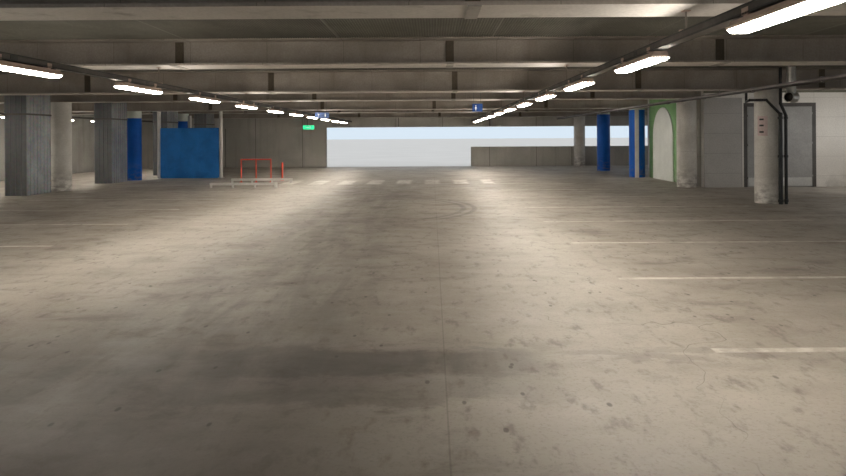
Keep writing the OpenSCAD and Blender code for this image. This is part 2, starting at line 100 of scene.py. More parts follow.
class Paint:
    """A procedural material: the colour laid so far, its relief, and helpers that add nodes."""

    def __init__(self, name, roughness=0.8, metallic=0.0, specular=0.5):
        PAINTS[name] = bpy.data.materials.new(name)
        PAINTS[name].use_nodes = True
        self.tree = PAINTS[name].node_tree
        self.shader = self.tree.nodes["Principled BSDF"]
        self.shade("Roughness", roughness)
        self.shade("Metallic", metallic)
        self.shade("Specular IOR Level", specular)
        self.place = self.node("TexCoord").outputs["Object"]
        self.x, self.y, self.z = self.parts(self.place)
        self.colour = None
        self.heights = []

    def node(self, kind, **inputs):
        """A new node, with its inputs linked or set."""
        made = self.tree.nodes.new("ShaderNode" + kind)
        for label, value in inputs.items():
            self.put(made.inputs[label], value)
        return made

    def put(self, socket, value):
        """Links an output to an input, or sets a plain value on it."""
        if isinstance(value, bpy.types.NodeSocket):
            self.tree.links.new(value, socket)
        else:
            socket.default_value = value

    def shade(self, label, value):
        """Links or sets one of the shader's own inputs."""
        self.put(self.shader.inputs[label], value)

    def parts(self, vector):
        """The x, y and z of a vector."""
        return self.node("SeparateXYZ", Vector=vector).outputs

    def facing(self, axis):
        """The normal's own x, y or z."""
        return self.parts(self.node("NewGeometry").outputs["True Normal"])[axis]

    def maths(self, operation, a, b=0.0):
        node = self.node("Math")
        node.operation = operation
        self.put(node.inputs[0], a)
        self.put(node.inputs[1], b)
        return node.outputs[0]

    def plus(self, a, b):
        return self.maths("ADD", a, b)

    def minus(self, a, b):
        return self.maths("SUBTRACT", a, b)

    def times(self, product, *factors):
        """All of the values multiplied, which keeps what lies in every mask."""
        for factor in factors:
            product = self.maths("MULTIPLY", product, factor)
        return product

    def either(self, a, b):
        """The stronger of two masks."""
        return self.maths("MAXIMUM", a, b)

    def length(self, a, b):
        """The length of the flat vector (a, b)."""
        return self.maths("SQRT", self.plus(self.times(a, a), self.times(b, b)))

    def over_floor(self):
        """Height above the floor of whichever level the point is on."""
        return self.maths("MODULO", self.minus(self.z, FLOOR - 0.001), STOREY)

    def stretch(self, factors, offset=(0, 0, 0)):
        """The place, scaled and moved on each axis."""
        return self.node("Mapping", Vector=self.place, Scale=factors, Location=offset).outputs[0]

    def noise(self, scale, detail=3.0, stretch=(1, 1, 1), offset=(0, 0, 0), bend=0.0, rough=0.55):
        node = self.node("TexNoise", Vector=self.stretch(stretch, offset), Scale=scale,
                         Detail=detail, Roughness=rough, Distortion=bend)
        return node.outputs["Fac"]

    def drift(self, scale, low=0.0, high=1.0, detail=3, **shape):
        """Clouds that run from low to high."""
        return self.ramp(self.noise(scale, detail, **shape), 0.3, 0.7, low, high)

    def cells(self, scale, stretch=(1, 1, 1)):
        return self.node("TexVoronoi", Vector=self.stretch(stretch), Scale=scale)

    def ramp(self, value, start, end, low=0.0, high=1.0):
        """value from start to end becomes low to high, and stays there outside."""
        node = self.node("MapRange", Value=value, **{"From Min": start, "From Max": end,
                                                     "To Min": low, "To Max": high})
        node.clamp = True
        node.interpolation_type = "SMOOTHSTEP"
        return node.outputs[0]

    def line(self, value, pitch, width, offset=0.0):
        """1 on lines of that width that repeat at that pitch along value."""
        distance = self.maths("PINGPONG", self.minus(value, offset), pitch / 2)
        return self.ramp(distance, width * 0.35, width * 0.65, 1.0, 0.0)

    def band(self, value, middle, half, soft):
        """1 within half of the middle, fading over soft."""
        away = self.maths("ABSOLUTE", self.minus(value, middle))
        return self.ramp(away, half, half + soft, 1.0, 0.0)

    def mix(self, factor, a, b):
        """Colour a where the factor is 0, and b where it is 1."""
        node = self.node("Mix")
        node.data_type = "RGBA"
        node.clamp_factor = True
        colour_inputs = [s for s in node.inputs if s.type == "RGBA"]
        self.put(node.inputs["Factor"], factor)
        for socket, value in zip(colour_inputs, (a, b)):
            self.put(socket, (*value, 1.0) if isinstance(value, tuple) else value)
        return next(s for s in node.outputs if s.type == "RGBA")

    def mottled(self, dark, pale, scale=1.2, grain=28.0):
        """Two tones clouded together, with a fine grain over them."""
        cloud = self.ramp(self.noise(scale, 5, bend=0.4), 0.32, 0.68)
        shade = tuple(0.62 * c for c in dark)
        return self.mix(self.drift(grain, 0.0, 0.28, 2), self.mix(cloud, dark, pale), shade)

    def lay(self, tone, *masks):
        """Lays a tone over the colour so far, as strongly as all of the masks multiplied."""
        self.colour = self.mix(self.times(*masks), self.colour, tone)

    def raise_by(self, value, height):
        """Adds a relief to the bump, where value 1 stands height metres proud."""
        self.heights.append(self.times(value, height))

    def grain(self, scale, height, detail=3):
        """Adds a fine relief."""
        self.raise_by(self.noise(scale, detail), height)

    def glow(self, colour, strength):
        self.shade("Emission Color", colour)
        self.shade("Emission Strength", strength)

    def finish(self, roughness=None):
        """Joins the colour, the roughness and the relief to the shader."""
        self.shade("Base Color", self.colour)
        if roughness is not None:
            self.shade("Roughness", roughness)
        if self.heights:
            total = self.heights[0]
            for height in self.heights[1:]:
                total = self.plus(total, height)
            self.shade("Normal", self.node("Bump", Distance=1.0, Height=total).outputs[0])


def scuffs(paint, reach, amount, mask):
    """The mask low down: at that amount on the floor, and gone at the height of reach."""
    return paint.times(paint.ramp(paint.over_floor(), 0.0, reach, amount, 0.0), mask)


# Markings of the parking floors
AISLE_HALF = 3.88
STALL_DEPTH = 5.0
STALL_PITCH = BAY / 2
STALL_FIRST = -13.33
LINE_W = 0.1
ZEBRA_MIDDLE = 5.55
ZEBRA_HALF = 1.05
STRIPE_FIRST = 1.8
STRIPE_PITCH = 1.0
STRIPE_W = 0.5


def stall_lines(paint):
    """Painted lines between the stalls on both sides of the aisle."""
    away = paint.maths("ABSOLUTE", paint.x)
    along = paint.line(paint.y, STALL_PITCH, LINE_W, STALL_FIRST)
    middle = AISLE_HALF + STALL_DEPTH / 2
    return paint.times(along, paint.band(away, middle, STALL_DEPTH / 2, 0.02))


def zebra(paint):
    """Crossing stripes over the aisle."""
    stripes = paint.line(paint.x, STRIPE_PITCH, STRIPE_W, STRIPE_FIRST)
    across = paint.band(paint.y, ZEBRA_MIDDLE, ZEBRA_HALF, 0.03)
    return paint.times(stripes, across, paint.band(paint.x, 0.0, AISLE_HALF, 0.1))


def worn(paint, mask):
    """The same mask with flakes and scuffs missing."""
    flakes = paint.ramp(paint.noise(3.0, 6, rough=0.7), 0.38, 0.62, 1.0, 0.25)
    return paint.times(mask, flakes, 0.75)


# Flaws of the ground floor
SKID_CENTRE = (-0.4, -3.2)
SKID_RADIUS = 2.9
SKID_GAUGE = 0.24


def skid_marks(paint):
    """Two thin curved tyre marks that turn out of the aisle."""
    from_x = paint.minus(paint.x, SKID_CENTRE[0])
    from_y = paint.minus(paint.y, SKID_CENTRE[1])
    away = paint.length(from_x, from_y)
    inner = paint.band(away, SKID_RADIUS, 0.03, 0.06)
    outer = paint.band(away, SKID_RADIUS + SKID_GAUGE, 0.03, 0.06)
    side = paint.times(paint.ramp(paint.x, 0.9, 1.4), paint.ramp(paint.y, -5.6, -5.0))
    return paint.times(paint.either(inner, outer), side)


def cracks(paint, scale, width):
    """Thin wandering lines that come and go."""
    wander = paint.node("TexNoise", Vector=paint.place, Scale=1.6)
    bend = paint.node("VectorMath")
    bend.operation = "ADD"
    paint.put(bend.inputs[0], paint.place)
    paint.put(bend.inputs[1], wander.outputs["Color"])
    node = paint.node("TexVoronoi", Vector=bend.outputs[0], Scale=scale)
    node.feature = "DISTANCE_TO_EDGE"
    thin = paint.ramp(node.outputs["Distance"], 0.0, width, 1.0, 0.0)
    return paint.times(thin, paint.ramp(paint.noise(0.5, 2, offset=(7, 3, 0)), 0.5, 0.6))


def pocks(paint, scale, size, share):
    """Small drops on the floor, where share is how few of the cells have one."""
    node = paint.cells(scale, (1, 0.5, 1))
    node.voronoi_dimensions = "2D"
    dot = paint.ramp(node.outputs["Distance"], size * 0.5, size, 1.0, 0.0)
    red = paint.node("SeparateColor", Color=node.outputs["Color"]).outputs[0]
    return paint.times(dot, paint.ramp(red, share, share + 0.02))


# Zones of the ground floor as ramps, from where each starts to where it is full
# The brown zone is the floor's own brown tone with painted shade near the left; the front zone is
# painted shade
BROWN_SHADE_Y = (-11.6, -14.6)
BROWN_SHADE_X = (2.6, 0.4)
FRONT_SHADE_Y = (-14.2, -15.4)
DARK_BAND_NEAR_Y = (-14.4, -14.25)
DARK_BAND_FAR_Y = (-13.15, -13.35)
DARK_BAND_FULL_Y = (-13.95, -13.7)
DARK_BAND_RIGHT_X = (2.8, 2.35)
DARK_BAND_LEFT_X = (-0.4, 0.8)
# The pale zone on the right is painted light under the right lamp row
LIT_RIGHT_Y = (-5.0, -8.5)

# Zones as bands: the middle, half of the full width, and the soft edge
LANE_X = (0.1, 0.6, 1.0)
LANE_Y = (-5.0, 8.5, 3.0)
STREAK_X = (3.5, 0.6, 0.4)
STREAK_Y = (-13.4, 0.06, 0.06)
# The pale bands are painted light under the two lamp rows
LIT_RIGHT_X = (3.2, 0.5, 0.9)
LIT_LEFT_X = (-2.1, 0.4, 0.9)
LIT_LEFT_Y = (-1.0, 8.5, 3.0)

JOINT_X = 1.88
JOINT_Y = -4.35
JOINT_PITCH = 5.6


def bare_floor(paint, mottles):
    """Clouded concrete with pale and dirty patches, browner towards the near end, and darker there as
    painted shade.
    """
    cloud = paint.drift(0.42, detail=5, stretch=(1, 0.7, 1), bend=0.5)
    paint.colour = paint.mix(cloud, (0.3, 0.264, 0.223), (0.42, 0.384, 0.338))
    paint.lay((0.135, 0.118, 0.1), paint.ramp(mottles, 0.5, 0.72, 0.0, 0.5))
    paint.lay((0.45, 0.42, 0.375), paint.ramp(mottles, 0.46, 0.3, 0.0, 0.3))
    # Painted shade near the front on the left, in the floor's brown tone
    paint.lay((0.075, 0.052, 0.039), paint.ramp(paint.y, *BROWN_SHADE_Y),
              paint.ramp(paint.x, *BROWN_SHADE_X, 0.0, 0.52))
    # Painted shade over the floor nearest the front
    paint.lay((0.1, 0.085, 0.072), paint.ramp(paint.y, *FRONT_SHADE_Y, 0.0, 0.34))


def driven_floor(paint, mottles):
    """Tyre smears along the aisle, a dark band across it, and pale strips under the lamp rows that are
    painted light.
    """
    smears = paint.noise(1.1, 5, (2.2, 0.4, 1), bend=0.6, rough=0.62)
    paint.lay((0.125, 0.11, 0.095), paint.band(paint.x, *LANE_X), paint.band(paint.y, *LANE_Y),
              paint.ramp(smears, 0.35, 0.65, 0.18, 0.55))
    paint.lay((0.07, 0.062, 0.056), skid_marks(paint), 0.4)
    along = paint.plus(paint.y, paint.times(paint.ramp(mottles, 0.3, 0.7, -0.5, 0.5), 0.3))
    # A dark band across the aisle near the front
    paint.lay((0.1, 0.088, 0.08), paint.ramp(along, *DARK_BAND_NEAR_Y),
              paint.ramp(along, *DARK_BAND_FAR_Y), paint.ramp(along, *DARK_BAND_FULL_Y, 0.5, 1.0),
              paint.ramp(paint.x, *DARK_BAND_RIGHT_X), paint.ramp(paint.x, *DARK_BAND_LEFT_X, 0.3, 1.0),
              paint.ramp(smears, 0.3, 0.6, 0.5, 0.8))
    paint.lay((0.14, 0.12, 0.105), paint.band(along, *STREAK_Y), paint.band(paint.x, *STREAK_X), 0.5)
    # Painted light: pale strips on the floor under the right and left lamp rows
    right = paint.times(paint.band(paint.x, *LIT_RIGHT_X), paint.ramp(paint.y, *LIT_RIGHT_Y))
    left = paint.times(paint.band(paint.x, *LIT_LEFT_X), paint.band(paint.y, *LIT_LEFT_Y))
    paint.lay((0.62, 0.58, 0.52), paint.either(right, left), 0.3)


def floor_concrete():
    """Worn, slightly polished concrete with tyre stains, joints and markings."""
    paint = Paint("floor_concrete", specular=0.32)
    mottles = paint.noise(1.9, 7, (0.8, 1.3, 1), bend=0.25, rough=0.7)
    bare_floor(paint, mottles)
    driven_floor(paint, mottles)
    stains = paint.noise(6.5, 5, (1.2, 0.5, 1), rough=0.62)
    paint.lay((0.11, 0.086, 0.066), paint.ramp(stains, 0.53, 0.7, 0.0, 0.44))
    fine = paint.noise(42.0, 3, rough=0.7)
    paint.lay((0.12, 0.105, 0.09), paint.ramp(fine, 0.5, 0.75, 0.0, 0.35))
    paint.lay((0.78, 0.76, 0.7), worn(paint, paint.either(stall_lines(paint), zebra(paint))))
    joints = paint.either(paint.times(paint.line(paint.x, JOINT_PITCH, 0.01, JOINT_X), 0.45),
                          paint.line(paint.y, 3 * BAY, 0.03, JOINT_Y))
    spots = paint.either(pocks(paint, 1.7, 0.035, 0.66), pocks(paint, 3.4, 0.06, 0.7))
    flaws = paint.either(cracks(paint, 0.22, 0.0014), spots)
    paint.lay((0.05, 0.043, 0.036), paint.either(joints, flaws), 0.6)
    paint.raise_by(fine, 0.0012)
    paint.finish(paint.ramp(mottles, 0.3, 0.7, 0.44, 0.62))


def deck_concrete():
    """A deck: plain concrete below, darkened as painted shade, and a traffic coat with markings on top.
    """
    paint = Paint("deck_concrete")
    under = paint.mottled((0.1, 0.097, 0.083), (0.15, 0.145, 0.127), 0.9)
    cloud = paint.drift(0.5, detail=6, bend=0.5)
    paint.colour = paint.mix(cloud, (0.2, 0.195, 0.185), (0.29, 0.285, 0.27))
    smears = paint.ramp(paint.noise(1.0, 6, (2.2, 0.22, 1), bend=0.6), 0.46, 0.7)
    paint.lay((0.1, 0.097, 0.09), smears, paint.band(paint.x, 0.4, 1.6, 2.2), 0.6)
    paint.lay((0.8, 0.79, 0.75), worn(paint, stall_lines(paint)))
    paint.lay((0.05, 0.05, 0.05), paint.line(paint.y, BAY, 0.02, BAY / 2), 0.6)
    # The downward faces take the darker tone as painted shade
    paint.colour = paint.mix(paint.ramp(paint.facing(2), 0.2, 0.8), under, paint.colour)
    paint.grain(45.0, 0.0008)
    paint.finish(paint.drift(2.0, 0.7, 0.9))


RIB_PITCH = 0.038
RIB_DEPTH = 0.014


def rib_concrete():
    """The ribbed underside of a deck, with painted shade in the grooves between the ribs."""
    paint = Paint("rib_concrete", roughness=0.85)
    paint.colour = paint.mottled((0.155, 0.15, 0.125), (0.225, 0.22, 0.19), 0.7, 20.0)
    stain = paint.ramp(paint.noise(1.6, 5, (1, 0.25, 1)), 0.52, 0.68)
    paint.lay((0.1, 0.095, 0.08), stain, 0.5)
    from_left = paint.plus(paint.x, INSIDE_X)
    # Painted shade in the grooves between the ribs
    groove_shade = paint.line(from_left, RIB_PITCH, 0.5 * RIB_PITCH, 0.2 * RIB_PITCH)
    paint.lay((0.06, 0.058, 0.046), groove_shade, 0.45)
    paint.lay((0.33, 0.32, 0.29), paint.line(paint.x, 2.4, 0.03, 0.35), 0.5)
    paint.finish()


FLANGE_TOP = 2.85


def painted_steel():
    """Matt paint on the beams: warm brown with board joints, and pale under the lower flange as painted
    light from the lamps below.
    """
    paint = Paint("painted_steel", roughness=0.72, specular=0.35)
    web = paint.mottled((0.315, 0.277, 0.234), (0.43, 0.386, 0.338), 1.1, 34.0)
    flange = paint.mottled((0.6, 0.564, 0.519), (0.71, 0.673, 0.628), 0.8, 30.0)
    # Painted light: downward faces of the lower flange take the pale tone
    low = paint.ramp(paint.over_floor(), FLANGE_TOP, FLANGE_TOP + 0.03, 1.0, 0.0)
    pale = paint.times(paint.ramp(paint.facing(2), -0.6, -0.4, 1.0, 0.0), low)
    paint.colour = paint.mix(pale, web, flange)
    streak = paint.ramp(paint.noise(3.2, 4, (1, 1, 0.12)), 0.55, 0.75)
    paint.lay((0.2, 0.17, 0.14), streak, 0.45)
    joints = paint.times(paint.line(paint.x, 1.22, 0.008, 0.4), paint.minus(1.0, pale))
    paint.lay((0.12, 0.1, 0.08), joints, 0.55)
    paint.raise_by(joints, -0.002)
    paint.finish()


def plain_paint(name, dark, pale, roughness, metallic=0.0):
    """A clouded coat with a fine grain and a little relief."""
    paint = Paint(name, metallic=metallic)
    paint.colour = paint.mottled(dark, pale, 1.5, 30.0)
    paint.grain(45.0, 0.0006)
    paint.finish(paint.drift(4.0, roughness - 0.08, roughness + 0.1))


def dust_and_highlight_pipe():
    """Dark paint with a pale upper half, from dust and a painted highlight."""
    paint = Paint("pipe_paint", roughness=0.5)
    dust_and_highlight = paint.mottled((0.266, 0.245, 0.2485), (0.38, 0.35, 0.355), 2.5, 40.0)
    # Upward faces take the pale tone: dust and a painted highlight
    up = paint.ramp(paint.facing(2), -0.45, 0.1)
    paint.colour = paint.mix(up, (0.03, 0.026, 0.027), dust_and_highlight)
    paint.grain(60.0, 0.0003, 2)
    paint.finish()


def wall_concrete():
    """Cast walls with formwork lines and water streaks."""
    paint = Paint("wall_concrete", roughness=0.85)
    paint.colour = paint.mottled((0.3, 0.29, 0.265), (0.42, 0.41, 0.38), 0.7)
    streak = paint.ramp(paint.noise(2.6, 5, (1, 1, 0.1)), 0.5, 0.75)
    paint.lay((0.2, 0.19, 0.17), streak, 0.5)
    seams = paint.either(paint.line(paint.plus(paint.x, paint.y), BAY / 2, 0.012, 0.3),
                         paint.line(paint.z, STOREY, 0.02, FLOOR))
    paint.lay((0.13, 0.125, 0.11), seams, 0.6)
    paint.raise_by(seams, -0.003)
    paint.grain(30.0, 0.0012, 4)
    paint.finish()


def precast_concrete():
    """Precast panels: fine stone in the face, joints between panels, streaks below the top."""
    paint = Paint("precast_concrete", roughness=0.82)
    paint.colour = paint.mottled((0.4, 0.385, 0.35), (0.52, 0.5, 0.46), 0.55, 55.0)
    stones = paint.cells(70.0).outputs["Distance"]
    paint.lay((0.26, 0.24, 0.21), paint.ramp(stones, 0.1, 0.5, 0.35, 0.0))
    streak = paint.ramp(paint.noise(3.0, 6, (1, 1, 0.07)), 0.5, 0.74)
    paint.lay((0.24, 0.23, 0.2), streak, 0.42)
    joints = paint.line(paint.plus(paint.x, paint.y), BAY / 2, 0.024, 0.2)
    paint.lay((0.09, 0.088, 0.08), joints, 0.85)
    paint.raise_by(joints, -0.008)
    paint.grain(70.0, 0.0015)
    paint.finish()


BLOCK_H = 0.6
BLOCK_LONG = 1.2


def block_wall(name, dark, pale, mortar, bare=None):
    """Painted blocks with shallow joints, a little dirty near the floor; bare up to that y."""
    paint = Paint(name, roughness=0.6)
    paint.colour = paint.mottled(dark, pale, 0.9)
    if bare:
        coated = paint.ramp(paint.y, bare, bare + 0.01)
        paint.colour = paint.mix(coated, (0.3, 0.275, 0.235), paint.colour)
    joints = paint.either(paint.line(paint.z, BLOCK_H, 0.012, FLOOR + 0.33),
                          paint.line(paint.plus(paint.x, paint.y), BLOCK_LONG, 0.012, 0.12))
    paint.lay(mortar, joints, 0.5)
    grime = paint.ramp(paint.noise(2.5, 5), 0.35, 0.65)
    paint.lay((0.3, 0.28, 0.25), scuffs(paint, 0.7, 0.4, grime))
    paint.raise_by(joints, -0.002)
    paint.grain(40.0, 0.0007)
    paint.finish(paint.drift(3.0, 0.5, 0.7))


def painted_columns():
    """White paint on round columns, scuffed near the floor."""
    paint = Paint("painted_columns")
    paint.colour = paint.mottled((0.6, 0.575, 0.53), (0.74, 0.72, 0.68), 1.4)
    rubbed = paint.ramp(paint.noise(4.5, 6, (1, 1, 2.0)), 0.4, 0.62)
    paint.lay((0.24, 0.22, 0.2), scuffs(paint, 0.9, 0.75, rubbed))
    paint.lay((0.3, 0.29, 0.27), paint.line(paint.z, STOREY / 2, 0.01, FLOOR + 1.1), 0.35)
    paint.grain(26.0, 0.0012, 4)
    paint.finish(paint.drift(3.0, 0.45, 0.62))


# Heights of the blue coat over the floor, on the left and on the right
BLUE_TOPS = (2.38, 2.58)


def blue_columns():
    """Blue coat with the pale column above it; the coat ends higher on the right side."""
    paint = Paint("blue_columns", specular=0.2)
    pale = paint.mottled((0.55, 0.6, 0.54), (0.7, 0.74, 0.67), 1.4)
    paint.colour = paint.mottled((0.004, 0.085, 0.42), (0.008, 0.13, 0.58), 1.2)
    rubbed = paint.ramp(paint.noise(5.0, 6, (1, 1, 2.0)), 0.45, 0.62)
    paint.lay((0.14, 0.15, 0.18), scuffs(paint, 0.8, 0.6, rubbed))
    edge = paint.plus(paint.z, paint.times(paint.noise(6.0, 3), 0.006))
    top = paint.ramp(paint.x, -1.0, 1.0, FLOOR + BLUE_TOPS[0], FLOOR + BLUE_TOPS[1])
    over = paint.ramp(paint.minus(edge, top), -0.004, 0.004)
    paint.lay(pale, over)
    paint.grain(26.0, 0.001, 4)
    paint.finish(paint.drift(3.0, 0.35, 0.5))


def sheet_casing():
    """Dull galvanised sheet with faint spangle and drawn streaks, with the two end faces darkened as
    painted shade.
    """
    paint = Paint("sheet_casing", metallic=0.55)
    paint.colour = paint.mottled((0.28, 0.29, 0.3), (0.4, 0.41, 0.42), 1.6)
    paint.lay(paint.cells(16.0).outputs["Color"], 0.08)
    drawn = paint.ramp(paint.noise(5.0, 5, (1, 1, 0.08)), 0.45, 0.75)
    paint.lay((0.55, 0.57, 0.58), drawn, 0.35)
    # Painted shade: the faces across y take the dark tone
    ends = paint.maths("ABSOLUTE", paint.facing(1))
    paint.lay((0.035, 0.038, 0.045), paint.ramp(ends, 0.5, 0.8, 0.0, 0.75))
    paint.raise_by(paint.noise(1.6, 3, (1, 1, 0.3)), 0.012)
    paint.finish(paint.drift(3.0, 0.32, 0.52, 4))


# The duct's mouth: its place, where z is over the floor, its turn and its inner radius
MOUTH_AT = (9.9, -3.03, 2.45)
MOUTH_TURN = math.radians(30)
MOUTH_R = 0.1


def duct_metal():
    """Bright sheet metal, with painted shade inside the mouth of the duct."""
    paint = Paint("duct_metal", metallic=0.7)
    paint.colour = paint.mottled((0.38, 0.38, 0.36), (0.56, 0.56, 0.53), 3.0)
    from_x = paint.minus(paint.x, MOUTH_AT[0])
    from_y = paint.minus(paint.y, MOUTH_AT[1])
    from_z = paint.minus(paint.over_floor(), MOUTH_AT[2])
    aside = paint.minus(paint.times(from_y, math.cos(MOUTH_TURN)),
                        paint.times(from_x, math.sin(MOUTH_TURN)))
    away = paint.length(aside, from_z)
    # Painted shade inside the duct's mouth
    paint.lay((0.02, 0.018, 0.016), paint.ramp(away, MOUTH_R + 0.001, MOUTH_R + 0.006, 1.0, 0.0))
    paint.grain(45.0, 0.0006)
    paint.finish(paint.drift(4.0, 0.3, 0.45))


# The lamps' strength, how high they are lit over the floor, and the shares of the left rows
# and of the row over the right strip
LAMP_STRENGTH = 68.0
LAMP_LIT_TOP = 2.326
LAMP_LEFT_SHARE = 0.95
LAMP_SIDE_SHARE = 0.15


def lamp_diffuser():
    """Bright ribbed plastic, with a dull upper edge where the body holds it."""
    paint = Paint("lamp_diffuser", roughness=0.4)
    bright = paint.mix(paint.drift(3.0, detail=2), (1.0, 0.9, 0.76), (1.0, 0.94, 0.84))
    lit = paint.ramp(paint.over_floor(), LAMP_LIT_TOP - 0.002, LAMP_LIT_TOP, 1.0, 0.0)
    below = paint.ramp(paint.facing(2), 0.4, 0.6, LAMP_STRENGTH, 0.0)
    row = paint.times(paint.ramp(paint.x, 0.0, 1.0, LAMP_LEFT_SHARE, 1.0),
                      paint.ramp(paint.x, 8.0, 9.0, 1.0, LAMP_SIDE_SHARE))
    paint.glow(bright, paint.times(below, lit, row))
    paint.colour = paint.mix(lit, (0.6, 0.45, 0.37), bright)
    paint.raise_by(paint.line(paint.x, 0.01, 0.004), 0.0006)
    paint.finish()


STRAP_GREY = (0.2, 0.19, 0.175)
SIGN_HEIGHTS = {"hanging_sign": 0.23, "left_sign": 0.2, "exit_sign": 0.18}


def straps(paint, node):
    """1 on the plain grey straps above a sign's own top."""
    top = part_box(node)[0].z + SIGN_HEIGHTS[node] - FLOOR
    return paint.ramp(paint.over_floor(), top - 0.004, top + 0.004)


def hung_sign(name, dark, pale, node):
    """A coloured sign face below its straps."""
    paint = Paint(name, roughness=0.35)
    paint.colour = paint.mottled(dark, pale, 1.5, 30.0)
    paint.lay(STRAP_GREY, straps(paint, node))
    paint.grain(45.0, 0.0004)
    paint.finish()


def lit_sign(name, colour, strength, node=None):
    """A sign face that glows, below its straps if it is a hung sign's: the exit sign from a light
    behind it, the white pictures of the blue signs faintly as painted light.
    """
    paint = Paint(name, roughness=0.35)
    deep = tuple(0.75 * c for c in colour)
    paint.colour = paint.mix(paint.drift(7.0, detail=2), deep, colour)
    if node:
        above = straps(paint, node)
        strength = paint.ramp(above, 0.4, 0.6, strength, 0.0)
    paint.glow(paint.colour, strength)
    if node:
        paint.lay(STRAP_GREY, above)
    paint.grain(60.0, 0.0002, 2)
    paint.finish()


BOARD_H = 0.61
BOARD_LONG = 1.3


def grey_cladding():
    """Grey painted boards with joints between them."""
    paint = Paint("grey_cladding")
    paint.colour = paint.mottled((0.42, 0.41, 0.395), (0.5, 0.49, 0.475), 1.0)
    joints = paint.either(paint.line(paint.z, BOARD_H, 0.008, FLOOR + 2.26),
                          paint.line(paint.x, BOARD_LONG, 0.008, 11.24))
    paint.lay((0.12, 0.115, 0.11), joints, 0.6)
    paint.raise_by(joints, -0.002)
    paint.grain(30.0, 0.0006)
    paint.finish(paint.drift(3.0, 0.5, 0.68))


# Plain coats: the dark tone, the pale tone, the roughness, and the metal share if there is one
COATS = {
    "dark_steel": ((0.08, 0.064, 0.045), (0.135, 0.108, 0.077), 0.7),
    "pale_panel": ((0.7, 0.72, 0.68), (0.8, 0.82, 0.78), 0.5),
    "door_frame_paint": ((0.06, 0.055, 0.05), (0.1, 0.093, 0.086), 0.45),
    "door_paint": ((0.29, 0.29, 0.285), (0.36, 0.36, 0.355), 0.45),
    "lamp_body": ((0.5, 0.36, 0.29), (0.62, 0.47, 0.39), 0.5),
    "splice_steel": ((0.3, 0.28, 0.25), (0.4, 0.375, 0.335), 0.6),
    "olive_steel": ((0.13, 0.13, 0.095), (0.18, 0.18, 0.135), 0.6),
    "hanger_steel": ((0.24, 0.21, 0.18), (0.32, 0.28, 0.24), 0.6),
    "sealant": ((0.05, 0.05, 0.048), (0.09, 0.088, 0.082), 0.8),
    "pale_metal": ((0.5, 0.5, 0.49), (0.62, 0.62, 0.6), 0.4, 0.3),
    "rail_paint": ((0.07, 0.062, 0.054), (0.11, 0.098, 0.086), 0.6),
    "black_pipe": ((0.014, 0.014, 0.014), (0.03, 0.03, 0.03), 0.4),
    "blue_screen": ((0.014, 0.17, 0.56), (0.027, 0.26, 0.75), 0.6),
    "pink_plate": ((0.6, 0.47, 0.46), (0.7, 0.57, 0.56), 0.45),
    "white_post": ((0.6, 0.58, 0.55), (0.74, 0.72, 0.69), 0.45),
    "kerb_concrete": ((0.68, 0.66, 0.63), (0.8, 0.78, 0.75), 0.5),
    "red_tube": ((0.76, 0.09, 0.055), (0.9, 0.15, 0.1), 0.35),
}


def make_paints():
    """Every finish of the building."""
    for name, coat in COATS.items():
        plain_paint(name, *coat)
    for finish in (floor_concrete, deck_concrete, rib_concrete, painted_steel, wall_concrete,
                   precast_concrete, grey_cladding, painted_columns, blue_columns,
                   lamp_diffuser, dust_and_highlight_pipe, duct_metal, sheet_casing):
        finish()
    block_wall("white_wall", (0.72, 0.695, 0.655), (0.8, 0.78, 0.74), (0.42, 0.4, 0.37))
    block_wall("green_wall", (0.15, 0.3, 0.12), (0.21, 0.39, 0.17), (0.08, 0.16, 0.07),
               CORE_FRONT + 0.62)
    hung_sign("sign_blue", (0.02, 0.08, 0.34), (0.03, 0.11, 0.44), "hanging_sign")
    hung_sign("sign_blue_white", (0.1, 0.17, 0.42), (0.16, 0.25, 0.55), "left_sign")
    lit_sign("sign_green", (0.03, 0.62, 0.27), 1.6, "exit_sign")
    # The white pictures on the blue hanging signs glow faintly as painted light; no light is behind
    # them
    lit_sign("sign_white", (0.85, 0.86, 0.84), 0.25)


# Nodes whose finish differs a little from the rest of their slot
OWN_PAINT = {"flange_plates": "splice_steel", "core_head_beam": "olive_steel",
             "rail_hangers": "hanger_steel"}


def paint_frame():
    """Gives every CAD node the finish of its slot in the record."""
    for part in frame["record"]["subparts"]:
        materials = frame["nodes"][part["node"]].data.materials
        materials.clear()
        materials.append(PAINTS[OWN_PAINT.get(part["node"], part["material_slot"])])


# Pieces
def lifted(flat, along, axis):
    """A point of an outline, put at a place along the axis."""
    place = list(flat)
    place.insert(axis, along)
    return tuple(place)


def arc(centre, radius, turns):
    """Points round a centre, at those angles."""
    return [(centre[0] + radius * math.cos(t), centre[1] + radius * math.sin(t)) for t in turns]


def circle(centre, radius, sides):
    turn = 2 * math.pi / sides
    return arc(centre, radius, [k * turn for k in range(sides)])


